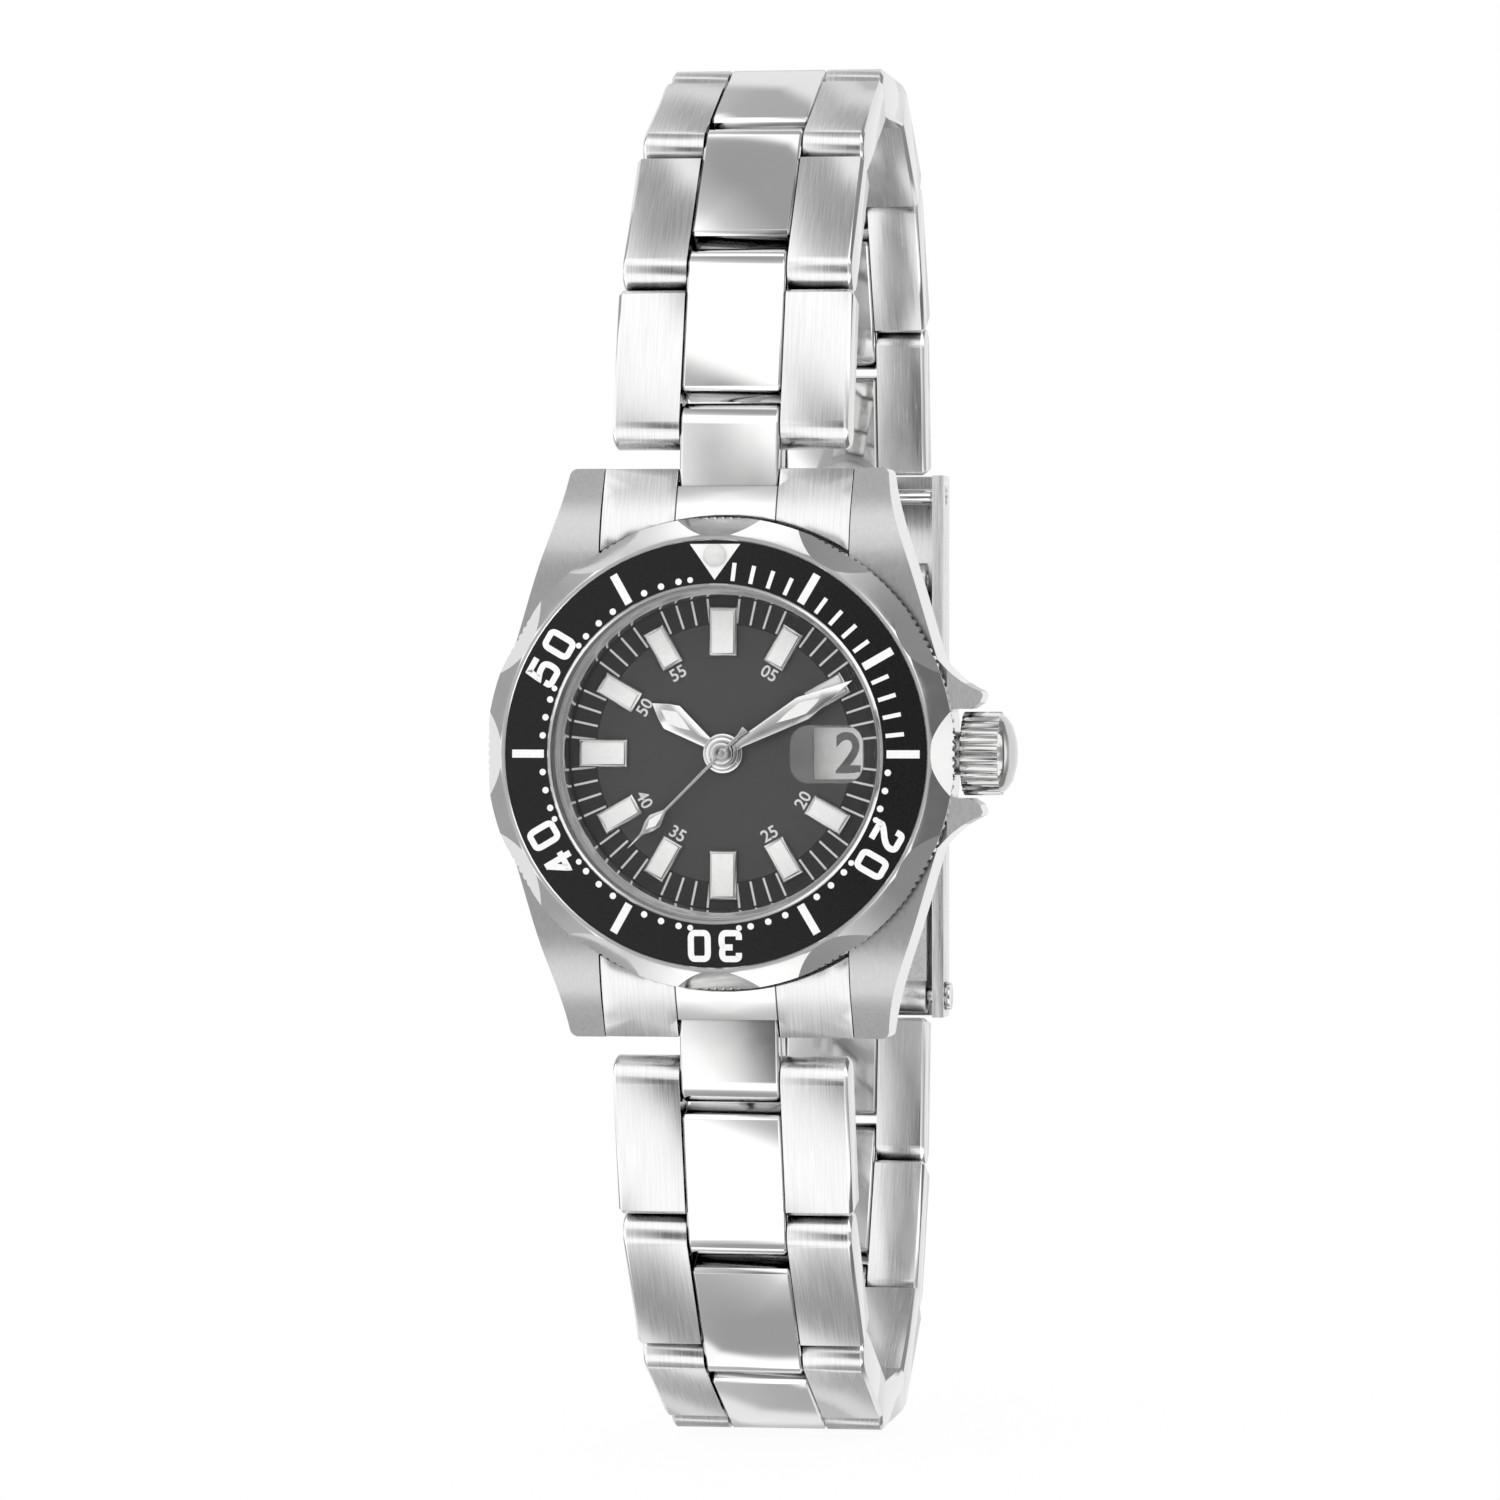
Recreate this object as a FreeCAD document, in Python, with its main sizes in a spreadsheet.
import FreeCAD, Part
import math
import os

import Sketcher

# Dive watch on a folding-clasp link bracelet. Millimetres. The caseback's outer face is y = 0 on the
# hands' axis, the dial faces -Y, twelve o'clock is +Z and the crown points to +X. "Height" below is
# the distance in front of the caseback, so a height h lies at y = -h.

os.makedirs("parts", exist_ok=True)
doc = FreeCAD.newDocument("dive_watch")
Vec = FreeCAD.Vector

SIZES = {
    # case
    "case_radius": (12.6, "barrel of the case"),
    "case_bottom": (1.0, "height of the case's underside"),
    "deck_height": (5.0, "height of the deck under the bezel"),
    "neck_wall": (1.5, "wall of the collar the bezel turns on"),
    "neck_height": (6.5, "top of the collar"),
    "lug_width": (14.0, "gap between a pair of lugs"),
    "lug_wall": (1.95, "thickness of a lug at its tip"),
    "lug_length": (3.15, "reach of a lug's tip beyond the barrel"),
    "guard_length": (1.7, "reach of the crown guards beyond the barrel"),
    "bar_inset": (1.45, "lug spring bar to the lug's tip"),
    "bar_height": (2.0, "height of the spring bars"),
    "bar_radius": (0.75, "lug spring bar"),
    "bar_pivot": (0.42, "thin end of a lug spring bar"),
    # bezel, crystal, dial
    "bezel_overhang": (0.4, "bezel beyond the barrel"),
    "bezel_bottom": (5.15, "underside of the bezel"),
    "bezel_top": (7.72, "outer lip of the bezel"),
    "rim_width": (1.3, "bezel's rim outside its insert"),
    "crystal_radius": (9.0, "crystal"),
    "crystal_bottom": (6.15, "inner face of the crystal"),
    "crystal_top": (8.25, "outer face of the crystal"),
    "gasket_wall": (0.4, "crystal gasket"),
    "lip_width": (0.17, "bezel's lip between crystal and insert"),
    "dial_face": (4.9, "height of the dial's face"),
    "dial_thick": (0.4, "dial"),
    "marker_inset": (1.9, "hour markers' centres inside the dial's opening"),
    "hour_hand_inset": (3.8, "hour hand's tip inside the dial's opening"),
    "minute_hand_inset": (0.3, "minute hand's tip inside the dial's opening"),
    "second_hand_inset": (1.2, "second hand's tip inside the dial's opening"),
    "lens_width": (4.0, "date magnifier along x"),
    "lens_depth": (3.15, "date magnifier along z"),
    "lens_rise": (0.85, "date magnifier above the crystal"),
    # caseback
    "caseback_inset": (1.6, "caseback's flange inside the barrel's radius"),
    # crown
    "crown_radius": (2.3, "crown"),
    "crown_gap": (0.5, "barrel to the crown's skirt"),
    "crown_length": (2.95, "crown"),
    "crown_height": (2.95, "height of the stem's axis"),
    "stem_radius": (0.4, "stem"),
    # bracelet
    "link_pitch": (9.0, "pivot to pivot of a link"),
    "link_half": (1.3, "half thickness, and round of each knuckle"),
    "link_inset": (0.4, "first link inside the lugs' gap, each side"),
    "taper": (0.9, "first link to last link, each side"),
    "centre_half": (2.78, "half width of a centre piece"),
    "pin_radius": (0.45, "bracelet pin"),
    "nose_length": (3.8, "first centre piece, pivot to pivot"),
    # clasp
    "cover_wall": (0.7, "thickness of the clasp cover"),
    "blade_wide": (1.98, "side rail of the clasp's outer blade"),
    "blade_thick": (0.7, "thickness of the blades"),
    "hinge_radius": (0.5, "clasp hinge pin"),
    # movement
    "plate_radius": (8.7, "main plate"),
    "holder_wall": (1.1, "movement holder, between the main plate and the case"),
    "date_width": (2.85, "date ring"),
}
LINKS = 7
# direction of each link of the closed bracelet, in degrees from the lugs' direction towards the back
TILTS = (5.0, 15.0, 38.0, 64.0, 92.0, 126.0, 156.0, 173.0)

sheet = doc.addObject("Spreadsheet::Sheet", "Sizes")
for row, (alias, (number, note)) in enumerate(SIZES.items(), start=1):
    sheet.set(f"A{row}", str(number))
    sheet.set(f"B{row}", note)
    sheet.setAlias(f"A{row}", alias)
doc.recompute()


class Size:
    """A length that carries its number and the sheet formula it comes from."""

    def __init__(self, number, formula=None):
        self.number = float(number)
        self.formula = formula or f"{float(number):.6f}"

    @staticmethod
    def of(other):
        return other if isinstance(other, Size) else Size(other)

    def __add__(self, other):
        other = Size.of(other)
        return Size(self.number + other.number, f"({self.formula} + {other.formula})")

    def __sub__(self, other):
        other = Size.of(other)
        return Size(self.number - other.number, f"({self.formula} - {other.formula})")

    def __mul__(self, other):
        other = Size.of(other)
        return Size(self.number * other.number, f"({self.formula} * {other.formula})")

    def __rsub__(self, other):
        return Size.of(other) - self

    def __neg__(self):
        return Size(0) - self

    __radd__ = __add__
    __rmul__ = __mul__

    def __float__(self):
        return self.number


def size(alias):
    return Size(sheet.get(alias), f"Sizes.{alias}")


S = {alias: size(alias) for alias in SIZES}
# sizes that follow from others, with the clearances between them
RUN = 0.05  # round a turning piece
SEAT = 0.02  # round a piece that is fixed in its seat
S["lug_reach"] = S["case_radius"] + S["lug_length"]
S["lug_tip_half"] = 0.5 * S["lug_width"] + S["lug_wall"]
S["bar_reach"] = S["lug_reach"] - S["bar_inset"]
S["guard_reach"] = S["case_radius"] + S["guard_length"]
S["neck_bore"] = S["crystal_radius"] + S["gasket_wall"]
S["neck_radius"] = S["neck_bore"] + S["neck_wall"]
S["bezel_radius"] = S["case_radius"] + S["bezel_overhang"]
S["insert_radius"] = S["bezel_radius"] - S["rim_width"]
S["lip_bore"] = S["crystal_radius"] + 3 * RUN
S["insert_bore"] = S["lip_bore"] + S["lip_width"]
S["dial_opening"] = S["crystal_radius"] - S["gasket_wall"]
S["dial_radius"] = S["neck_bore"] + 0.2
S["cavity_radius"] = S["plate_radius"] + S["holder_wall"]
for part in ("marker", "hour_hand", "minute_hand", "second_hand"):
    S[part + "_radius"] = S["dial_opening"] - S[part + "_inset"]
S["caseback_radius"] = S["case_radius"] - S["caseback_inset"]
S["date_out"] = S["plate_radius"] - 0.55
S["date_in"] = S["date_out"] - S["date_width"]
S["crown_start"] = S["case_radius"] + S["crown_gap"]
S["tube_radius"] = 3 * S["stem_radius"]
S["crown_end"] = S["crown_start"] + S["crown_length"]
N = {alias: float(value) for alias, value in S.items()}
NODES = []


def node(obj, name):
    """Name a finished sub-part and list it for export."""
    obj.Label = name
    NODES.append(obj)
    return obj


def feature(name, shape):
    obj = doc.addObject("Part::Feature", name)
    obj.Shape = shape
    return node(obj, name)


def polygon_sketch(body, corners):
    """Closed straight-sided profile whose corners follow the sheet."""
    sketch = body.newObject("Sketcher::SketchObject", body.Name + "_profile")
    plane = next(f for f in body.Origin.OriginFeatures if f.Role == "XY_Plane")
    sketch.AttachmentSupport = [(plane, "")]
    sketch.MapMode = "FlatFace"
    corners = [(Size.of(a), Size.of(b)) for a, b in corners]
    points = [Vec(float(a), float(b), 0) for a, b in corners]
    count = len(points)
    for i in range(count):
        sketch.addGeometry(Part.LineSegment(points[i], points[(i + 1) % count]))
    for i in range(count):
        sketch.addConstraint(Sketcher.Constraint("Coincident", i, 2, (i + 1) % count, 1))
    for i, corner in enumerate(corners):
        for kind, value in zip(("DistanceX", "DistanceY"), corner):
            rule = Sketcher.Constraint(kind, -1, 1, i, 1, float(value))
            sketch.setExpression(f"Constraints[{sketch.addConstraint(rule)}]", value.formula)
    return sketch


def turned(name, profile):
    """Solid of revolution about the hands' axis from (radius, height) corners."""
    body = doc.addObject("PartDesign::Body", name)
    sketch = polygon_sketch(body, [(r, -Size.of(h)) for r, h in profile])
    turn = body.newObject("PartDesign::Revolution", name + "_turn")
    turn.Profile = sketch
    turn.ReferenceAxis = (sketch, ["V_Axis"])
    turn.Angle = 360
    return body


def turned_on_stem(name, profile):
    """Solid of revolution about the stem's axis from (distance along x, radius) corners."""
    body = doc.addObject("PartDesign::Body", name)
    sketch = polygon_sketch(body, profile)
    turn = body.newObject("PartDesign::Revolution", name + "_turn")
    turn.Profile = sketch
    turn.ReferenceAxis = (sketch, ["H_Axis"])
    turn.Angle = 360
    body.setExpression("Placement.Base.y", "-Sizes.crown_height")
    return body


def at(x, height, z):
    return Vec(x, -height, z)


def disc(radius, low, high, x=0.0, z=0.0):
    """Cylinder parallel to the hands' axis."""
    return Part.makeCylinder(radius, high - low, at(x, low, z), Vec(0, -1, 0))


def ring(inner, outer, low, high, x=0.0, z=0.0):
    return disc(outer, low, high, x, z).cut(disc(inner, low - 1, high + 1, x, z))


def rod(radius, x0, x1, y, z):
    """Cylinder along x."""
    return Part.makeCylinder(radius, x1 - x0, Vec(x0, y, z), Vec(1, 0, 0))


def block(x0, x1, low, high, z0, z1):
    return Part.makeBox(x1 - x0, high - low, z1 - z0, Vec(x0, -high, z0))


def prism(points, low, high):
    """Plate parallel to the dial from plain (x, z) numbers."""
    loop = [at(x, low, z) for x, z in points]
    return Part.Face(Part.makePolygon(loop + loop[:1])).extrude(Vec(0, low - high, 0))


def polar(radius, degrees):
    """(x, z) at a clock angle: zero at twelve, growing clockwise."""
    a = math.radians(degrees)
    return radius * math.sin(a), radius * math.cos(a)


def turn_about_axis(shape, degrees):
    """Copy of a shape turned clockwise about the hands' axis."""
    copy = shape.copy()
    copy.rotate(Vec(0, 0, 0), Vec(0, 1, 0), degrees)
    return copy


def gear(teeth, module, low, high, x=0.0, z=0.0, phase=0.0):
    """Thin wheel with straight-flanked teeth; phase is in tooth pitches."""
    pitch = teeth * module / 2
    points = []
    for i in range(teeth):
        for step, radius in ((-0.30, -1.15), (-0.10, 0.85), (0.10, 0.85), (0.30, -1.15)):
            px, pz = polar(pitch + radius * module, 360 * (i + phase + step) / teeth)
            points.append((px + x, pz + z))
    return prism(points, low, high)


def serrated(radius, depth, count):
    """(across, along) corners of a coin edge."""
    points = []
    for i in range(count):
        points.append(polar(radius, 360 * (i - 0.2) / count))
        points.append(polar(radius, 360 * (i + 0.2) / count))
        points.append(polar(radius - depth, 360 * (i + 0.5) / count))
    return points


# ---------------------------------------------------------------- case
half_gap = N["lug_width"] / 2
CORNER = 0.45  # round of a lug's outer corner


def flank(side):
    """Case outline from one lug tip round to the opposite one, on the side of +x or -x."""
    tip, reach, barrel = N["lug_tip_half"], N["lug_reach"], N["case_radius"]
    z = (reach - CORNER, reach * 0.67, reach * 0.38, reach * 0.15)
    x = (tip, tip + (barrel - tip) * 0.36, tip + (barrel - tip) * 0.74, barrel * 0.995)
    upper = list(zip(x, z))
    points = upper + [(barrel, 0.0)] + [(a, -b) for a, b in reversed(upper)]
    curve = Part.BSplineCurve()
    straight = Vec(side * 0.12, 0, -1)
    curve.interpolate([at(side * a, 0, b) for a, b in points], InitialTangent=straight,
                      FinalTangent=Vec(-side * 0.12, 0, -1))
    return curve.toShape()


def case_outline():
    tip, reach = N["lug_tip_half"], N["lug_reach"]
    edges = [flank(1), flank(-1)]
    for end in (1, -1):
        a, b = (tip, end * (reach - CORNER)), (tip - CORNER, end * reach)
        inset = CORNER * (1 - math.sqrt(0.5))
        for side in (1, -1):
            mid = at(side * (tip - inset), 0, end * (reach - inset))
            edges.append(Part.Arc(at(side * a[0], 0, a[1]), mid, at(side * b[0], 0, b[1])).toShape())
        edges.append(Part.makeLine(at(-b[0], 0, b[1]), at(b[0], 0, b[1])))
    return Part.Wire(Part.__sortEdges__(edges))


def side_profile(top_drop, end_drop):
    """Side view of the case in (z, height): flat deck, lugs curving down and on past their tips."""
    deck, tip = N["deck_height"] - top_drop, N["lug_reach"]
    flat, reach = tip - 6.75, tip + 1.0
    top = [(flat, deck), (tip - 4.55, deck - 0.12), (tip - 2.35, deck - 0.75),
           (tip - 0.55, deck - 1.75 - end_drop), (reach, deck - 2.9 - end_drop)]
    curve_edges = []
    for end in (1, -1):
        curve = Part.BSplineCurve()
        curve.interpolate([Vec(0, -h, end * z) for z, h in top], InitialTangent=Vec(0, 0, end),
                          FinalTangent=Vec(0, 1.2, end))
        curve_edges.append(curve.toShape())
    low = N["case_bottom"]
    under = [(reach, 0.35), (tip - 2.55, 0.45), (tip - 4.95, low)]
    rest = under + [(-z, h) for z, h in reversed(under)]
    loop = [Vec(0, -h, z) for z, h in [(reach, top[-1][1])] + rest + [(-reach, top[-1][1])]]
    edges = curve_edges + [Part.makeLine(a, b) for a, b in zip(loop, loop[1:])]
    edges.append(Part.makeLine(Vec(0, -deck, flat), Vec(0, -deck, -flat)))
    return Part.Face(Part.Wire(Part.__sortEdges__(edges)))


GUARD_GAP = 0.16  # round the crown, between the guards


def crown_guard(end):
    """One of the two horns beside the crown, blended into the flank."""
    reach, barrel, inner = N["guard_reach"], N["case_radius"], N["crown_radius"] + GUARD_GAP
    start = at(barrel - 1.7, 0, end * (inner + 4.14))
    shoulder = at(reach - 0.1, 0, end * (inner + 0.95))
    curve = Part.BSplineCurve()
    curve.interpolate([start, at(barrel - 0.85, 0, end * (inner + 2.89)),
                       at(barrel + 0.2, 0, end * (inner + 1.79)), shoulder])
    corners = [(reach, inner + 0.75), (reach - 0.15, inner + 0.35), (reach - 0.7, inner),
               (barrel - 1.6, inner)]
    loop = [shoulder] + [at(x, 0, end * z) for x, z in corners] + [start]
    edges = [curve.toShape()] + [Part.makeLine(a, b) for a, b in zip(loop, loop[1:])]
    face = Part.Face(Part.Wire(Part.__sortEdges__(edges)))
    horn = face.extrude(Vec(0, -10, 0))
    # the horn's top and bottom slope in towards its tip
    middle, past, top = N["crown_height"], reach + 0.1, N["deck_height"] - 0.1
    side = [(barrel - 3.6, top), (barrel - 0.2, top - 0.05), (past, middle + 1.2), (past, middle - 1.2),
            (barrel - 0.2, middle - 1.75), (barrel - 3.6, middle - 1.75)]
    loop = [Vec(x, -h, 0) for x, h in side]
    wedge = Part.Face(Part.makePolygon(loop + loop[:1])).extrude(Vec(0, 0, 20))
    wedge.translate(Vec(0, 0, -10))
    return horn.common(wedge)


def case_blank():
    plan = Part.Face(case_outline()).extrude(Vec(0, -10, 0))
    side = side_profile(0, 0).extrude(Vec(60, 0, 0))
    side.translate(Vec(-30, 0, 0))
    channel = block(-half_gap, half_gap, -1, 9, -30, 30).cut(disc(N["case_radius"] - 0.05, -2, 10))
    return plan.common(side).cut(channel)


case = case_blank().fuse([crown_guard(1), crown_guard(-1)]).removeSplitter()
case = case.fuse(disc(N["neck_radius"], N["deck_height"] - 0.5, N["neck_height"]))
case = case.cut(disc(N["cavity_radius"], -1, N["dial_face"] + RUN))
dial_seat = N["dial_face"] - N["dial_thick"] - SEAT
case = case.cut(disc(N["dial_radius"] + 0.2, dial_seat, N["dial_face"] + RUN))
case = case.cut(disc(N["neck_bore"], -1, 12))
SEAL_BORE, SEAL_WIDTH, SEAL_HEIGHT = N["cavity_radius"] + 0.3, 0.5, 0.33
case = case.cut(ring(SEAL_BORE - RUN, SEAL_BORE + SEAL_WIDTH + RUN, -1,
                     N["case_bottom"] + SEAL_HEIGHT + SEAT))
case = case.cut(rod(N["tube_radius"], N["cavity_radius"] - 2, 30, -N["crown_height"], 0))
BAR_HOLE = 0.75  # depth of the spring bars' holes in the lugs
for end in (1, -1):
    bar_z = end * N["bar_reach"]
    case = case.cut(rod(N["bar_pivot"] + 0.03, -half_gap - BAR_HOLE, half_gap + BAR_HOLE,
                        -N["bar_height"], bar_z))
feature("case_middle", case.removeSplitter())

# ---------------------------------------------------------------- caseback
flange, spigot, flange_top = S["caseback_radius"], S["cavity_radius"] - 0.1, S["case_bottom"] - SEAT
back = turned("caseback_blank", [
    (0, 0), (flange - 1.3, 0), (flange - 0.6, 0.35), (flange, 0.6), (flange, flange_top),
    (spigot, flange_top), (spigot, flange_top + 0.32), (spigot - 0.7, flange_top + 0.32),
    (spigot - 0.7, flange_top - 0.13), (0, flange_top - 0.13)])
doc.recompute()
back_shape = back.Shape
for i in range(6):
    x, z = polar(N["caseback_radius"] - 0.2, 60 * i + 30)
    back_shape = back_shape.cut(disc(0.75, -1, 0.55, x, z))
feature("caseback", back_shape)
seal, seal_top = S["cavity_radius"] + 0.3, S["case_bottom"] + SEAL_HEIGHT
node(turned("caseback_gasket", [
    (seal, S["case_bottom"]), (seal + SEAL_WIDTH, S["case_bottom"]), (seal + SEAL_WIDTH, seal_top),
    (seal, seal_top)]), "caseback_gasket")

# ---------------------------------------------------------------- bezel
inner, outer = S["insert_bore"], S["insert_radius"]
low, top = S["bezel_bottom"], S["bezel_top"]
rim, skirt = S["bezel_radius"], S["bezel_radius"] - 0.5
collar = S["neck_radius"] + RUN
COIN_HEIGHT, COIN_TEETH, COIN_DEPTH = 1.0, 180, 0.13
SPRING_SPACE, SKIRT_WALL = 0.35, 0.2
INSERT_SEAT = 0.6  # depth of the insert's groove below the outer lip
bezel = turned("bezel_blank", [
    (collar, low), (collar + 0.25, low), (collar + 0.25, low + SPRING_SPACE),
    (skirt - SKIRT_WALL, low + SPRING_SPACE), (skirt - SKIRT_WALL, low), (skirt, low),
    (skirt, low + COIN_HEIGHT - RUN), (rim, low + COIN_HEIGHT - RUN), (rim, low + COIN_HEIGHT + 0.25),
    (outer + 0.28, top - 0.08), (outer + 0.2, top), (outer + 0.06, top), (outer, top - 0.06),
    (outer, top - INSERT_SEAT), (inner, top - INSERT_SEAT), (inner, top + 0.12), (inner - 0.06, top + 0.18),
    (S["lip_bore"], top + 0.1), (S["lip_bore"], S["neck_height"] + 0.1), (collar, S["neck_height"] + 0.1)])
doc.recompute()
edge = prism(serrated(N["bezel_radius"] - SEAT, COIN_DEPTH, COIN_TEETH), N["bezel_bottom"],
             N["bezel_bottom"] + COIN_HEIGHT)
edge = edge.cut(disc(float(skirt) - SKIRT_WALL, 0, 12))
bezel_shape = bezel.Shape.fuse(edge)
SCALLOPS, SCALLOP_R, LEAN, SCALLOP_DEPTH = 12, 30.0, 0.6, 1.1
TOOL_RISE, TOOL_LENGTH = 25.0, 45.0  # how far above the bezel each cutting cylinder starts
for i in range(SCALLOPS):
    # each scallop leans outwards on its way down, so that it fades out above the coin edge
    axis_z = N["bezel_radius"] - SCALLOP_DEPTH + SCALLOP_R * math.hypot(1, LEAN)
    foot = at(0, N["bezel_top"] + TOOL_RISE, axis_z - TOOL_RISE * LEAN)
    tool = Part.makeCylinder(SCALLOP_R, TOOL_LENGTH, foot, Vec(0, 1, LEAN))
    bezel_shape = bezel_shape.cut(turn_about_axis(tool, 360 / SCALLOPS * i))
feature("bezel_ring", bezel_shape)
insert = turned("insert_blank", [
    (inner + SEAT, top - INSERT_SEAT + SEAT), (outer - SEAT, top - INSERT_SEAT + SEAT),
    (outer - SEAT, top - 0.1), (inner + SEAT, top + 0.1)])
doc.recompute()
PEARL_RADIUS, PEARL_SEAT = 0.62, 0.12
pearl_z, pearl_low = N["insert_radius"] - 0.85, N["bezel_top"] - PEARL_SEAT
feature("bezel_insert", insert.Shape.cut(disc(PEARL_RADIUS + SEAT, pearl_low - SEAT, 12, 0, pearl_z)))
pearl = Part.makeSphere(0.8, at(0, N["bezel_top"] - 0.36, pearl_z))
pearl = pearl.common(disc(PEARL_RADIUS, pearl_low, N["bezel_top"] + 1, 0, pearl_z))
feature("bezel_pearl", pearl)
spring_in, spring_out = N["neck_radius"] + 0.4, float(skirt) - SKIRT_WALL - 0.1
spring_low = N["deck_height"] + 0.01
spring = ring(spring_in, spring_out, spring_low, spring_low + 0.12)
for i in range(3):
    x, z = polar((spring_in + spring_out) / 2, 120 * i + 60)
    spring = spring.fuse(disc(0.3, spring_low + 0.04, N["bezel_bottom"] + SPRING_SPACE - 0.12, x, z))
feature("bezel_click_spring", spring)

# ---------------------------------------------------------------- crystal and dial side
glass, bottom, face = S["crystal_radius"], S["crystal_bottom"], S["crystal_top"]
node(turned("crystal", [(0, bottom), (glass, bottom), (glass, face - 0.3), (glass - 0.3, face),
                        (0, face)]), "crystal")
node(turned("crystal_gasket", [
    (glass - 0.25, bottom - 0.13), (S["neck_bore"], bottom - 0.13), (S["neck_bore"], S["neck_height"]),
    (glass, S["neck_height"]), (glass, bottom), (glass - 0.25, bottom)]), "crystal_gasket")
node(turned("rehaut", [
    (S["dial_opening"], S["dial_face"] + 0.02), (S["neck_bore"] - 0.02, S["dial_face"] + 0.02),
    (S["neck_bore"] - 0.02, bottom - 0.15), (glass - 0.22, bottom - 0.15)]), "rehaut")
date_x, LENS_ROUND = N["date_out"] - 1.85, 4.2
lens_ball = Part.makeSphere(LENS_ROUND, at(date_x, N["crystal_top"] + N["lens_rise"] - LENS_ROUND, 0))
half_w, half_d = N["lens_width"] / 2, N["lens_depth"] / 2
lens_pad = block(date_x - half_w, date_x + half_w, N["crystal_top"], N["crystal_top"] + 1, -half_d, half_d)
lens_pad = lens_pad.makeFillet(1.0, [e for e in lens_pad.Edges if e.BoundBox.YLength > 0.9])
feature("date_magnifier", lens_pad.common(lens_ball))

dial_back = N["dial_face"] - N["dial_thick"]
dial = disc(N["dial_radius"], dial_back, N["dial_face"]).cut(disc(0.85, 0, 12))
dial = dial.cut(block(date_x - 0.95, date_x + 0.95, 0, 12, -0.8, 0.8))
feature("dial", dial)
frames = []
for hour in (1, 2, 4, 5, 6, 7, 8, 9, 10, 11, 12):
    large = hour in (6, 9, 12)
    wide, long = (1.55, 2.7) if large else (1.25, 2.3)
    pad = block(-wide / 2, wide / 2, N["dial_face"], N["dial_face"] + 0.3,
                N["marker_radius"] - long / 2, N["marker_radius"] + long / 2)
    pad = pad.makeChamfer(0.1, [e for e in pad.Edges if e.BoundBox.YMax < -N["dial_face"] - 0.2])
    frames.append(turn_about_axis(pad, 30 * hour))
feature("dial_markers", Part.makeCompound(frames))
ring_low, ring_top = S["dial_face"] - S["dial_thick"] - 0.38, S["dial_face"] - S["dial_thick"] - 0.2
node(turned("date_ring", [(S["date_in"], ring_low), (S["date_out"], ring_low), (S["date_out"], ring_top),
                          (S["date_in"], ring_top)]), "date_ring")

# ---------------------------------------------------------------- movement
# tooth sizes of each pair of wheels, and the distances between their axes that follow from them
FINE, TRAIN, SLOW, MOTION, HOURS = 0.075, 0.07, 0.0661, 0.1, 0.096
ROTOR_TEETH, INTER_TEETH, PINION_TEETH, FOURTH_TEETH, THIRD_TEETH, CENTRE_TEETH = 6, 36, 8, 40, 60, 64
MINUTE_PINION_TEETH, MINUTE_WHEEL_TEETH, HOUR_PINION_TEETH, HOUR_TEETH = 12, 36, 10, 40
inter = (0.0, TRAIN * (FOURTH_TEETH + PINION_TEETH) / 2)
rotor_at = (0.0, inter[1] + FINE * (INTER_TEETH + ROTOR_TEETH) / 2)
third_at = (-TRAIN * (THIRD_TEETH + PINION_TEETH) / 2, 0.0)
minute_at = polar(MOTION * (MINUTE_PINION_TEETH + MINUTE_WHEEL_TEETH) / 2, 215)
PIVOT_RADIUS, PIVOT_HOLE = 0.11, 0.14
PLATE_LOW, PLATE_TOP = 3.55, dial_back - 0.05
BRIDGE_LOW, BRIDGE_TOP = 1.75, 2.1
BATTERY, BATTERY_RADIUS, BATTERY_LOW = (0.8, -5.0), 3.4, 1.4
STEM_PLAY = 0.04
stem_y = -N["crown_height"]
plate_r = N["plate_radius"]
ledge = float(ring_low) - SEAT  # the date ring turns on this ledge of the plate
main = disc(plate_r, PLATE_LOW, PLATE_TOP)
date_in, DATE_PLAY = N["date_in"], 0.15
main = main.cut(ring(date_in - DATE_PLAY, N["date_out"] + DATE_PLAY, ledge, 5))
main = main.cut(disc(date_in - 0.55, 3.75, 5)).cut(disc(date_in - 0.1, float(ring_top) + 0.04, 5))
main = main.cut(disc(0.5, 0, 12))
# the stem's pinion stays clear of this boss when the crown is pulled out
STEM_END, PINION_LENGTH, CROWN_PULL = 4.3, 0.65, 1.0
boss_start = STEM_END + PINION_LENGTH + CROWN_PULL + 0.15
main = main.fuse(block(boss_start, plate_r - 0.3, N["crown_height"] - 0.75, PLATE_LOW + 0.1, -1.1, 1.1))
STATOR_LOW, STATOR_TOP = 2.45, 2.75
POST_X, POST_Z, POST_RADIUS = 4.3, 2.9, 0.4
for x in (-POST_X, POST_X):
    main = main.fuse(disc(POST_RADIUS, STATOR_TOP + SEAT, PLATE_LOW + 0.1, x, POST_Z))
main = main.cut(rod(N["stem_radius"] + STEM_PLAY, 5, 12, stem_y, 0))
main = main.cut(disc(PIVOT_HOLE, 0, 12, *rotor_at)).cut(disc(PIVOT_HOLE, 0, 12, *third_at))
feature("main_plate", main.cut(disc(0.2, 0, 12, *minute_at)).removeSplitter())

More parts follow.
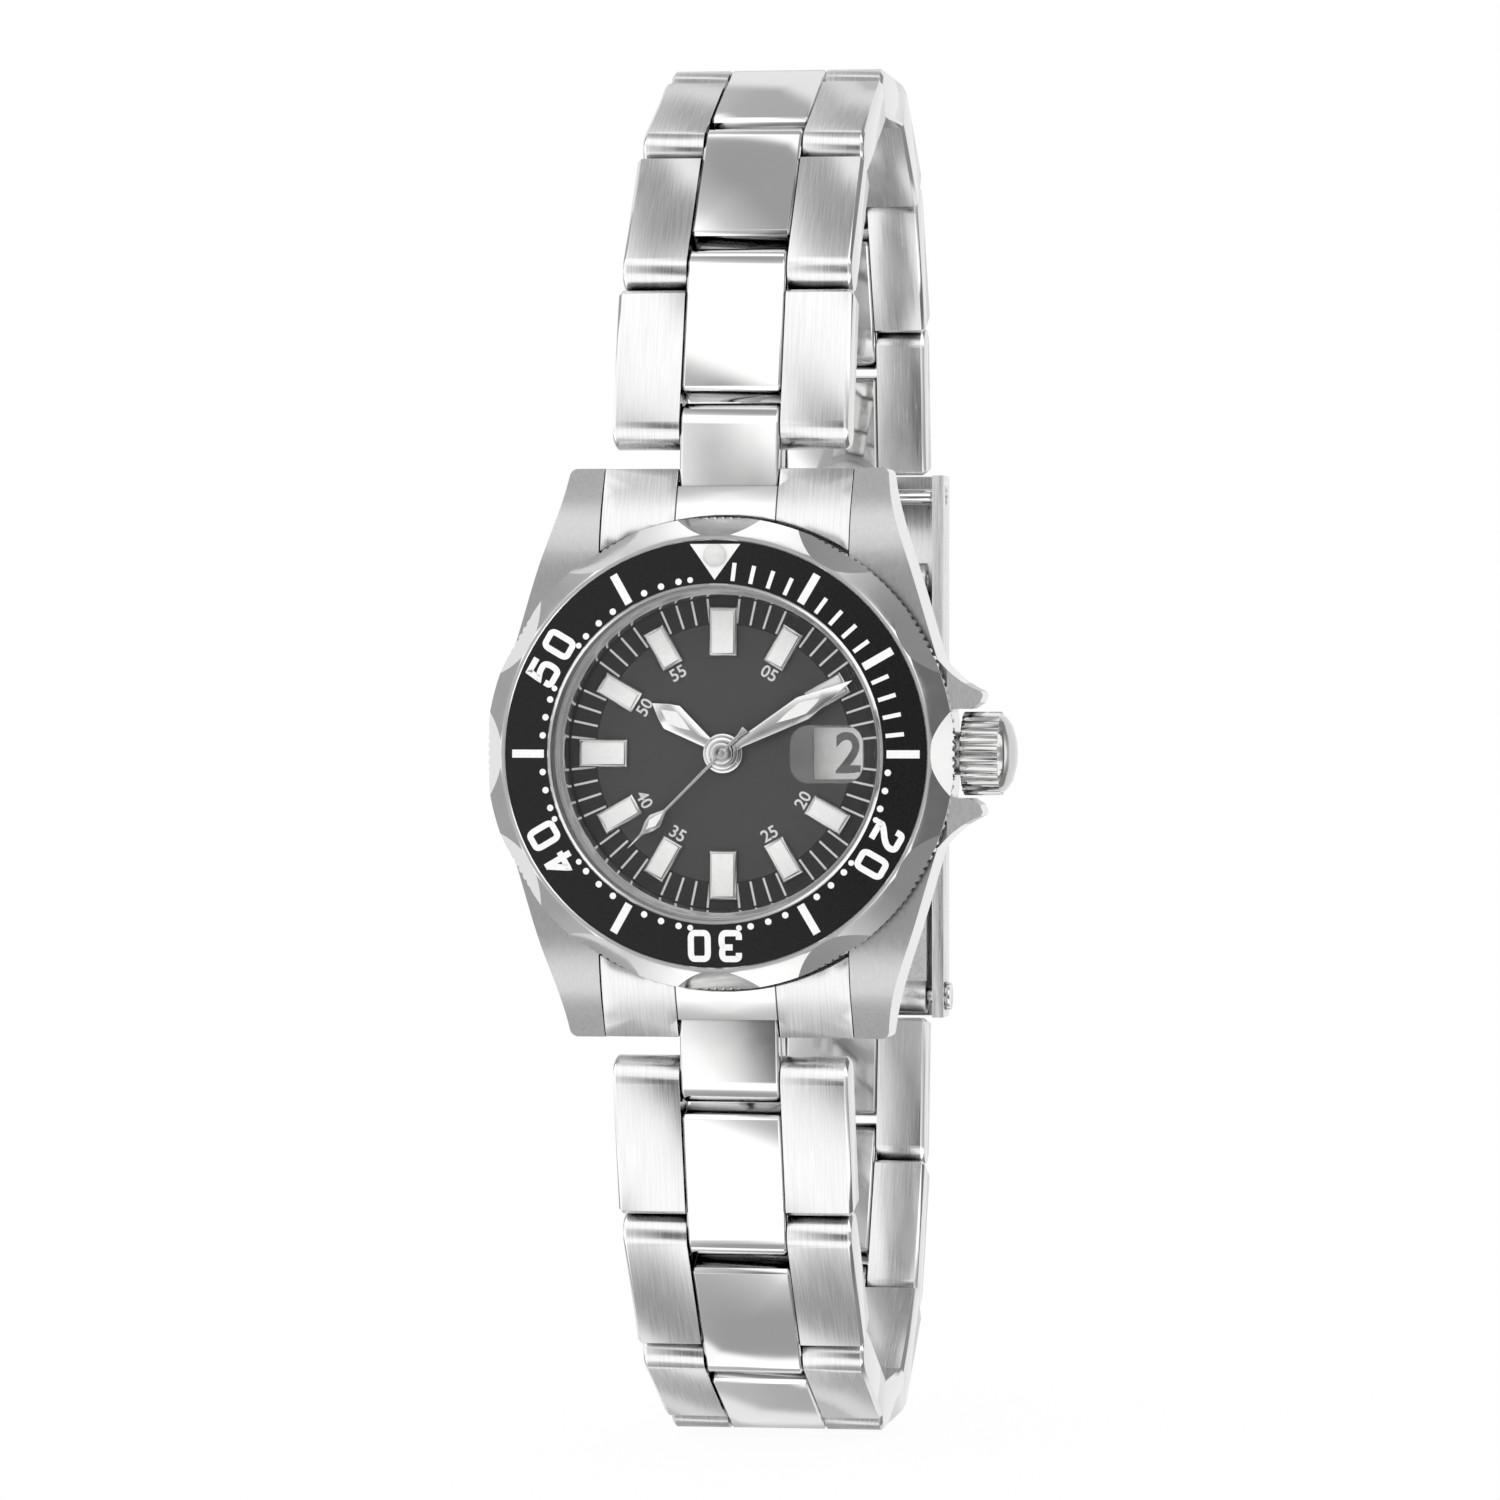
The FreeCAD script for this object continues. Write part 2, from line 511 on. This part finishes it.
bridge = prism([(-5.9, -1.0), (-5.9, 2.0), (-3.0, 4.4), (2.0, 4.4), (3.9, 1.8), (3.9, 0.4), (1.0, -1.3)],
               BRIDGE_LOW, BRIDGE_TOP)
for x, z in ((-5.2, 0.9), (3.2, 1.1)):
    bridge = bridge.fuse(disc(POST_RADIUS, BRIDGE_LOW + RUN, PLATE_LOW, x, z))
for x, z in ((0, 0), inter, rotor_at, third_at):
    bridge = bridge.cut(disc(PIVOT_HOLE, 0, 12, x, z))
feature("train_bridge", bridge.removeSplitter())
holder = ring(plate_r + 0.03, N["cavity_radius"] - RUN, float(flange_top) + 0.37, dial_back - SEAT)
feature("movement_holder", holder.cut(rod(N["stem_radius"] + 0.2, 5, 12, stem_y, 0)))
feature("battery", disc(BATTERY_RADIUS, BATTERY_LOW, BATTERY_LOW + 1.6, *BATTERY)
        .fuse(disc(BATTERY_RADIUS - 0.5, BATTERY_LOW + 1.6, PLATE_LOW - RUN, *BATTERY)))
YOKE_X, YOKE_WIDTH, YOKE_END = 4.8, 1.0, 6.9
stator = block(-YOKE_X, YOKE_X, STATOR_LOW, STATOR_TOP, POST_Z - 0.55, POST_Z + 1.4)
for side in (-1, 1):
    a, b = sorted((side * (YOKE_X - YOKE_WIDTH), side * YOKE_X))
    stator = stator.fuse(block(a, b, STATOR_LOW, STATOR_TOP, POST_Z + 1.4, YOKE_END))
ROTOR_RADIUS = 0.6
feature("stator", stator.cut(disc(ROTOR_RADIUS + 0.15, 0, 12, *rotor_at)).removeSplitter())
CORE_THICK, WINDING, coil_z = 0.2, 0.7, YOKE_END - 0.5
coil = block(-YOKE_X, YOKE_X, STATOR_LOW - CORE_THICK, STATOR_LOW, coil_z - 0.3, coil_z + 0.3)
feature("coil", coil.fuse(rod(WINDING, -3.4, 3.4, CORE_THICK / 2 - STATOR_LOW, coil_z)))
board = disc(plate_r - 0.4, 1.5, 1.7).cut(disc(BATTERY_RADIUS + 0.2, 0, 3, *BATTERY))
board = board.cut(block(-YOKE_X - 0.6, YOKE_X + 0.6, 0, 3, coil_z - 1.0, plate_r + 1))
feature("circuit_board", board)


def arbor(centre, low, high, radius=PIVOT_RADIUS):
    return disc(radius, low, high, *centre)


pivot_low = BRIDGE_LOW + RUN
feature("rotor", disc(ROTOR_RADIUS, 2.5, 3.0, *rotor_at).fuse(arbor(rotor_at, pivot_low, 3.65))
        .fuse(gear(ROTOR_TEETH, FINE, 2.28, 2.5, *rotor_at, phase=0.5)))
feature("intermediate_wheel", gear(INTER_TEETH, FINE, 2.3, 2.43, *inter)
        .fuse(gear(PINION_TEETH, TRAIN, 2.43, 2.8, *inter, phase=0.5)).fuse(arbor(inter, pivot_low, 2.9)))
CANNON_RADIUS, SECONDS_RADIUS, HOUR_TUBE = 0.42, 0.15, 0.72
HANDS = {"hour": 5.05, "minute": 5.36, "second": 5.64}  # height of each hand's underside
HAND_THICK = {"hour": 0.17, "minute": 0.14, "second": 0.12}
hand_top = {which: HANDS[which] + HAND_THICK[which] for which in HANDS}
feature("fourth_wheel", gear(FOURTH_TEETH, TRAIN, 2.55, 2.7)
        .fuse(gear(PINION_TEETH, TRAIN, 2.7, 3.0, phase=0.25)).fuse(disc(PIVOT_RADIUS, pivot_low, 2.6))
        .fuse(disc(SECONDS_RADIUS, 2.6, hand_top["second"] + 0.04)))
feature("third_wheel", gear(THIRD_TEETH, TRAIN, 2.75, 2.9, *third_at, phase=0.5)
        .fuse(gear(PINION_TEETH, SLOW, 2.9, 3.32, *third_at, phase=0.5)).fuse(arbor(third_at, pivot_low, 3.7)))
feature("centre_wheel", gear(CENTRE_TEETH, SLOW, 3.1, 3.25, phase=0.5).cut(disc(CANNON_RADIUS, 0, 12)))
feature("minute_pinion", disc(CANNON_RADIUS, 3.05, hand_top["minute"] + 0.04)
        .fuse(gear(MINUTE_PINION_TEETH, MOTION, 3.8, 3.97)).cut(disc(SECONDS_RADIUS + 0.04, 0, 12)))
feature("minute_wheel", gear(MINUTE_WHEEL_TEETH, MOTION, 3.8, 3.93, *minute_at)
        .fuse(gear(HOUR_PINION_TEETH, HOURS, 3.93, 4.28, *minute_at)).fuse(arbor(minute_at, 3.6, 4.3, 0.17)))
feature("hour_wheel", gear(HOUR_TEETH, HOURS, 4.1, 4.23).fuse(disc(HOUR_TUBE, 4.05, hand_top["hour"] + 0.03))
        .cut(disc(CANNON_RADIUS + 0.04, 0, 12)))

# ---------------------------------------------------------------- hands
def hand(which, outline, bore, boss, degrees):
    """Flat hand whose outline is (half width, distance from the axis) from tail to tip."""
    low, high = HANDS[which], hand_top[which]
    right = [(w, r) for w, r in outline]
    left = [(-w, r) for w, r in reversed(outline) if w > 0]
    shape = prism(right + left, low, high).fuse(disc(boss, low, high)).cut(disc(bore, 0, 12))
    feature(f"{which}_hand", turn_about_axis(shape.removeSplitter(), degrees))


long = N["hour_hand_radius"]
hand("hour", [(0.3, 0), (0.32, 1.1), (0.78, 0.72 * long), (0.5, 0.84 * long), (0.02, long)],
     HOUR_TUBE, 1.1, -55)
long = N["minute_hand_radius"]
hand("minute", [(0.24, 0), (0.24, 1.1), (0.68, 0.62 * long), (0.42, 0.78 * long), (0.02, long)],
     CANNON_RADIUS, 0.9, 61)
long = N["second_hand_radius"]
hand("second", [(0.2, -1.9), (0.09, -1.4), (0.07, 0.6 * long), (0.42, 0.7 * long), (0.36, 0.76 * long),
                (0.07, 0.85 * long), (0.02, long)], SECONDS_RADIUS, 0.62, 225)


# ---------------------------------------------------------------- crown
start, end_x = S["crown_start"], S["crown_end"]
crown_r, tube, stem_r = S["crown_radius"], S["tube_radius"], S["stem_radius"]
tube_end = start + 0.9
node(turned_on_stem("crown_tube", [
    (S["cavity_radius"] + RUN, stem_r + 0.07), (tube_end, stem_r + 0.07), (tube_end, tube),
    (S["cavity_radius"] + RUN, tube)]), "crown_tube")
ring_wall = 0.25  # room for the crown's seal, round the tube
cap = turned_on_stem("crown_blank", [
    (start, tube + ring_wall), (start + 1.3, tube + ring_wall), (start + 1.3, 0), (end_x, 0),
    (end_x - 0.08, crown_r * 0.36), (end_x - 0.3, crown_r * 0.68), (end_x - 0.62, crown_r * 0.88),
    (end_x - 0.85, crown_r * 0.93), (start + 0.12, crown_r * 0.9), (start, crown_r * 0.86)])
doc.recompute()
FLUTES, FLUTE_DEPTH, FLUTE_LENGTH, STEM_SEAT = 26, 0.24, 2.05, 1.7
flutes = [Vec(N["crown_start"] + RUN, a, b) for a, b in serrated(N["crown_radius"], FLUTE_DEPTH, FLUTES)]
sleeve = Part.Face(Part.makePolygon(flutes + flutes[:1])).extrude(Vec(FLUTE_LENGTH, 0, 0))
sleeve = sleeve.cut(Part.makeCylinder(N["crown_radius"] - 0.4, 9, Vec(10, 0, 0), Vec(1, 0, 0)))
sleeve.translate(Vec(0, stem_y, 0))
feature("crown", cap.Shape.fuse(sleeve).cut(
    rod(N["stem_radius"], 10, N["crown_start"] + STEM_SEAT, stem_y, 0)))
node(turned_on_stem("crown_gasket", [
    (start + 0.45, tube + SEAT), (start + 0.75, tube + SEAT), (start + 0.75, tube + ring_wall - SEAT),
    (start + 0.45, tube + ring_wall - SEAT)]), "crown_gasket")
pinion_r = stem_r + 0.1  # the setting pinion at the stem's inner end
neck = STEM_END + PINION_LENGTH
node(turned_on_stem("stem", [
    (STEM_END, 0), (STEM_END, pinion_r), (neck, pinion_r), (neck, stem_r), (start + STEM_SEAT, stem_r),
    (start + STEM_SEAT, 0)]), "stem")

# ---------------------------------------------------------------- end links
def end_link(end):
    """Curved block between a pair of lugs, hollow in the middle for the first centre piece."""
    half, tip = half_gap - RUN, N["lug_reach"]
    side = side_profile(0.08, -0.1).extrude(Vec(2 * half, 0, 0))
    side.translate(Vec(-half, 0, 0))
    piece = side.common(block(-half, half, 0.85, 9, N["case_radius"] - 3.6, tip - SEAT))
    split = N["deck_height"] - 0.7  # the case's flank bounds it below this height, the bezel above
    piece = piece.cut(disc(N["case_radius"] + SEAT, -2, split))
    piece = piece.cut(disc(N["bezel_radius"] + 0.12, split - 0.1, 10))
    cut_half, bar_z = N["centre_half"] + 0.08, N["bar_reach"]
    nose_top = N["bar_height"] + N["link_half"] + 0.15
    piece = piece.cut(block(-cut_half, cut_half, -1, nose_top, bar_z - N["link_half"] - 0.15, 30))
    piece = piece.cut(block(-cut_half, cut_half, -1, 9, bar_z + 0.45, 30))
    piece = piece.cut(rod(N["bar_radius"] + RUN, -20, 20, -N["bar_height"], bar_z))
    if end < 0:
        piece.rotate(Vec(0, 0, 0), Vec(0, 1, 0), 180)
    return piece


feature("end_link_upper", end_link(1))
feature("end_link_lower", end_link(-1))
bars = []
for end in (1, -1):
    bar_z = end * N["bar_reach"]
    bar = rod(N["bar_radius"], -half_gap + 0.1, half_gap - 0.1, -N["bar_height"], bar_z)
    pivot_x = half_gap + BAR_HOLE - RUN
    bars.append(bar.fuse(rod(N["bar_pivot"], -pivot_x, pivot_x, -N["bar_height"], bar_z)))
feature("lug_spring_bars", Part.makeCompound(bars))

# ---------------------------------------------------------------- bracelet links
T, PITCH, PIN = N["link_half"], N["link_pitch"], N["pin_radius"]
SIDE_GAP = 0.06  # between a centre piece and its outer pieces
PIN_COVER = 0.6  # metal left over a pin's end
EDGE_BREAK = 0.2


def slab(first, last, x0, x1, round_first, round_last):
    """Bar along the bracelet from pivot-side 'first' to 'last'; round ends are full knuckles."""
    y0, y1 = -T, T
    edges = []
    a, b = (first + T if round_first else first), (last - T if round_last else last)
    corner = EDGE_BREAK + SEAT
    if round_first:
        edges.append(Part.Arc(Vec(x0, y0, a), Vec(x0, 0, first), Vec(x0, y1, a)).toShape())
    else:
        edges += [Part.makeLine(Vec(x0, y0 + corner, a), Vec(x0, y1 - corner, a)),
                  Part.makeLine(Vec(x0, y0 + corner, a), Vec(x0, y0, a + corner)),
                  Part.makeLine(Vec(x0, y1 - corner, a), Vec(x0, y1, a + corner))]
    if round_last:
        edges.append(Part.Arc(Vec(x0, y0, b), Vec(x0, 0, last), Vec(x0, y1, b)).toShape())
    else:
        edges += [Part.makeLine(Vec(x0, y0 + corner, b), Vec(x0, y1 - corner, b)),
                  Part.makeLine(Vec(x0, y0 + corner, b), Vec(x0, y0, b - corner)),
                  Part.makeLine(Vec(x0, y1 - corner, b), Vec(x0, y1, b - corner))]
    start_z, end_z = a + (0 if round_first else corner), b - (0 if round_last else corner)
    for y in (y0, y1):
        edges.append(Part.makeLine(Vec(x0, y, start_z), Vec(x0, y, end_z)))
    return Part.Face(Part.Wire(Part.__sortEdges__(edges))).extrude(Vec(x1 - x0, 0, 0))


def bevel(shape, x, amount):
    """Break the outline edges of the side that lies at x."""
    edges = [e for e in shape.Edges if abs(e.BoundBox.XMin - x) < 1e-4 and abs(e.BoundBox.XMax - x) < 1e-4]
    return shape.makeChamfer(amount, edges)


def centre_piece(first, last, round_first, round_last=True):
    half = N["centre_half"]
    piece = slab(first, last, -half, half, round_first, round_last)
    return bevel(bevel(piece, -half, 0.8 * EDGE_BREAK), half, 0.8 * EDGE_BREAK)


def link(half_width):
    """Outer pair, fixed pin and pivot pin about the origin, with the centre piece that follows."""
    inner_x, far = N["centre_half"] + SIDE_GAP, PITCH - T - 2 * RUN
    fixed_z, pin_end = PITCH * 0.5, half_width - PIN_COVER
    outers = []
    for side in (1, -1):
        a, b = sorted((side * inner_x, side * half_width))
        outer_piece = bevel(slab(-T, far, a, b, True, False), side * half_width, EDGE_BREAK)
        for z in (0, fixed_z):
            outer_piece = outer_piece.cut(rod(PIN, -pin_end, pin_end, 0, z))
        outers.append(outer_piece)
    centre = centre_piece(T + 0.45, PITCH + T, False)
    centre = centre.cut(rod(PIN, -9, 9, 0, fixed_z)).cut(rod(PIN + RUN, -9, 9, 0, PITCH))
    pins = [rod(PIN, -pin_end, pin_end, 0, z) for z in (0, fixed_z)]
    return Part.makeCompound(outers + [centre] + pins)


def nose():
    piece = centre_piece(-T, N["nose_length"] + T, True)
    piece = piece.cut(rod(N["bar_radius"] + RUN, -9, 9, 0, 0))
    return piece.cut(rod(PIN + RUN, -9, 9, 0, N["nose_length"]))


def placed(point, tilt, end):
    """Placement of a link whose pivot is at (y, z) and which runs at a tilt, above or below the head."""
    turn = FreeCAD.Rotation(Vec(1, 0, 0), -tilt)
    if end < 0:
        turn = FreeCAD.Rotation(Vec(0, 1, 0), 180) * turn
    return FreeCAD.Placement(Vec(0, point[0], end * point[1]), turn)


pivots = [(-N["bar_height"], N["bar_reach"])]
for length, tilt in zip([N["nose_length"]] + [PITCH] * LINKS, TILTS):
    y, z = pivots[-1]
    a = math.radians(tilt)
    pivots.append((y + length * math.sin(a), z + length * math.cos(a)))


def half_width(index):
    return half_gap - N["link_inset"] - N["taper"] * (index - 1) / (LINKS - 1)


CLASP_Y, CLASP_Z = pivots[-1]
TONGUE = N["centre_half"] + 0.72  # half width of the clasp's inner blade
for end, prefix in ((1, "upper"), (-1, "lower")):
    first_piece = feature(f"{prefix}_first_centre", nose())
    first_piece.Placement = placed(pivots[0], TILTS[0], end)
    for i in range(1, LINKS + 1):
        shape = link(half_width(i))
        if i == LINKS and end < 0:
            # the last lower link carries the short pin of the inner blade
            short_pin = rod(PIN + RUN, -TONGUE, TONGUE, 0, PITCH)
            shape = Part.makeCompound(shape.Solids + [short_pin])
        piece = feature(f"{prefix}_link_{i}", shape)
        piece.Placement = placed(pivots[i], TILTS[i], end)

# ---------------------------------------------------------------- clasp
WALL, PIVOT, KNUCKLE = N["cover_wall"], N["hinge_radius"], 1.0
rail_in = TONGUE + 0.12
rail_out = rail_in + N["blade_wide"]
inside_x = max(rail_out + 0.45, half_width(LINKS) + 0.35)
cover_x = inside_x + WALL
END_COVER = 1.25  # cover beyond its hinge pins
PLATE_Y = CLASP_Y + T + 0.2
COVER_Y = PLATE_Y + WALL
hinge_z, joint_z = -CLASP_Z, CLASP_Z - 5.0


def cuboid(x0, x1, y0, y1, z0, z1):
    return Part.makeBox(x1 - x0, y1 - y0, z1 - z0, Vec(x0, y0, z0))


# the cover is a folded channel with rounded outer edges
cover = cuboid(-cover_x, cover_x, CLASP_Y - 1.2, COVER_Y, -CLASP_Z - END_COVER, CLASP_Z + END_COVER)
cover = cover.makeFillet(WALL + 0.2, [e for e in cover.Edges if e.BoundBox.ZLength > 2 * CLASP_Z
                                      and e.BoundBox.YMin > CLASP_Y])
cover = cover.cut(cuboid(-inside_x, inside_x, CLASP_Y - 5, PLATE_Y, -60, 60))
for z in (hinge_z, CLASP_Z):
    cover = cover.cut(rod(PIVOT, -19, 19, CLASP_Y, z))
EAR_RADIUS, EAR_IN, EAR_OUT = 0.75, cover_x - 1.85, cover_x - 0.85
FLAP_PIN = 0.4
flap_z, flap_y = -CLASP_Z + 2.6, COVER_Y + EAR_RADIUS
for side in (1, -1):
    a, b = sorted((side * EAR_IN, side * EAR_OUT))
    ear = cuboid(a, b, COVER_Y - 0.2, flap_y, flap_z - EAR_RADIUS, flap_z + EAR_RADIUS)
    cover = cover.fuse(ear.fuse(rod(EAR_RADIUS, a, b, flap_y, flap_z)))
cover = cover.cut(rod(FLAP_PIN, -EAR_OUT, EAR_OUT, flap_y, flap_z))
feature("clasp_cover", cover.removeSplitter())

FLAP_THICK, FLAP_LIFT = 0.7, 0.08
flap_low, flap_high, flap_end = COVER_Y + FLAP_LIFT, COVER_Y + FLAP_LIFT + FLAP_THICK, CLASP_Z - 1.3
tongue_x = EAR_IN - 2 * RUN
flap = cuboid(-tongue_x, tongue_x, flap_low, flap_high, flap_z, flap_end)
flap = flap.fuse(cuboid(-EAR_OUT, EAR_OUT, flap_low, flap_high, flap_z + 2 * EAR_RADIUS - 0.1, flap_end))
flap = flap.fuse(rod(EAR_RADIUS - 0.1, -tongue_x, tongue_x, flap_y, flap_z)).removeSplitter()
flap = flap.makeChamfer(FLAP_THICK / 2, [e for e in flap.Edges if e.BoundBox.XLength > 2 * EAR_IN
                                         and e.BoundBox.ZMin > flap_end - 0.1
                                         and e.BoundBox.YMin > flap_high - 0.01])
feature("clasp_flap", flap.cut(rod(FLAP_PIN + RUN, -9, 9, flap_y, flap_z)))

half_blade = N["blade_thick"] / 2
STRAP_AT, STRAP_LONG, STRAP_RISE = 6.0, 3.0, 1.1
strap = (hinge_z + STRAP_AT, hinge_z + STRAP_AT + STRAP_LONG)
outer_blade = cuboid(-rail_out, rail_out, CLASP_Y - half_blade, CLASP_Y + half_blade, hinge_z, joint_z)
outer_blade = outer_blade.cut(cuboid(-rail_in, rail_in, 0, 99, -60, 60))
outer_blade = outer_blade.fuse(cuboid(-rail_out, rail_out, CLASP_Y + STRAP_RISE / 2, CLASP_Y + STRAP_RISE,
                                      *strap))
for side in (1, -1):
    a, b = sorted((side * rail_in, side * rail_out))
    outer_blade = outer_blade.fuse(cuboid(a, b, CLASP_Y, CLASP_Y + STRAP_RISE, *strap))
    for z in (hinge_z, joint_z):
        outer_blade = outer_blade.fuse(rod(KNUCKLE, a, b, CLASP_Y, z))
outer_blade = outer_blade.cut(rod(PIVOT + RUN, -9, 9, CLASP_Y, hinge_z))
outer_blade = outer_blade.cut(rod(PIVOT, -9, 9, CLASP_Y, joint_z))
pin_end = rail_out - 0.1
blade_pin = rod(PIVOT, -pin_end, pin_end, CLASP_Y, joint_z)
feature("clasp_blade_outer", Part.makeCompound([outer_blade.removeSplitter(), blade_pin]))

inner_blade = cuboid(-TONGUE, TONGUE, CLASP_Y - half_blade, CLASP_Y + half_blade, hinge_z, joint_z)
inner_blade = inner_blade.fuse(rod(KNUCKLE, -TONGUE, TONGUE, CLASP_Y, joint_z))
inner_blade = inner_blade.fuse(rod(KNUCKLE, -TONGUE, TONGUE, CLASP_Y, hinge_z))
fork = N["centre_half"] + 0.08
inner_blade = inner_blade.cut(cuboid(-fork, fork, 0, 99, hinge_z - 5, hinge_z + T + 0.35))
inner_blade = inner_blade.cut(rod(PIN + 2 * RUN, -9, 9, CLASP_Y, hinge_z))
feature("clasp_blade_inner", inner_blade.cut(rod(PIVOT + RUN, -9, 9, CLASP_Y, joint_z)).removeSplitter())

pin_end = cover_x - WALL / 2
pins = [rod(PIVOT - RUN, -pin_end, pin_end, CLASP_Y, CLASP_Z)]
HEAD_RADIUS, HEAD_THICK = 0.85, 0.3
for side in (1, -1):
    a, b = sorted((side * (rail_in + SEAT), side * (cover_x + SEAT)))
    head_a, head_b = sorted((side * cover_x, side * (cover_x + HEAD_THICK)))
    rivet = rod(PIVOT, a, b, CLASP_Y, hinge_z)
    pins.append(rivet.fuse(rod(HEAD_RADIUS, head_a, head_b, CLASP_Y, hinge_z)))
pins.append(rod(FLAP_PIN, -EAR_OUT, EAR_OUT, flap_y, flap_z))
feature("clasp_pins", Part.makeCompound(pins))

# ---------------------------------------------------------------- checks and export
doc.recompute()
for obj in doc.Objects:
    if {"Invalid", "Error"} & set(obj.State):
        raise RuntimeError(f"{obj.Label} did not recompute: {obj.State}")
for obj in NODES:
    if obj.Shape.isNull() or not obj.Shape.isValid():
        raise RuntimeError(f"{obj.Label} has no valid shape")
    if not obj.Shape.Solids:
        raise RuntimeError(f"{obj.Label} has no solid")
    obj.Shape.exportStep(f"parts/{obj.Label}.step")
print(len(NODES), "sub-parts; clasp pivots at", round(CLASP_Y, 2), round(CLASP_Z, 2))
